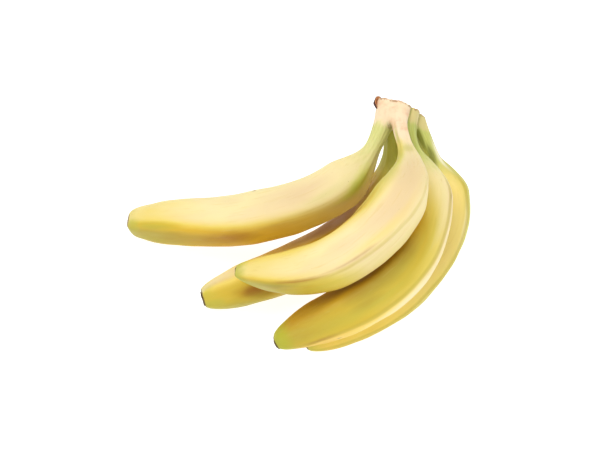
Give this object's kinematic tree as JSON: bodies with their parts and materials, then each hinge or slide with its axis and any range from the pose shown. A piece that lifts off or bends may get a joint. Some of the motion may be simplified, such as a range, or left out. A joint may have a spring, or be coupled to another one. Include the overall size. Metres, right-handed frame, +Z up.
{
  "type": "hand of bananas",
  "caption": "Hand of ripe bananas grown together at one cut crown and laid on its flank; long curved fruit with soft ridges, for a table, bowl or market stall.",
  "frame": {"origin": "on the table, under the middle of the hand's bounding box", "axes": "+X from the longest banana's tip towards the necks, +Y towards the crown's cut face, +Z up from the table"},
  "size_m": [0.2414, 0.175, 0.109],
  "materials": {
    "peel": "satin"
  },
  "bodies": {
    "root": {"banana_hand": "peel"}
  },
  "joints": []
}
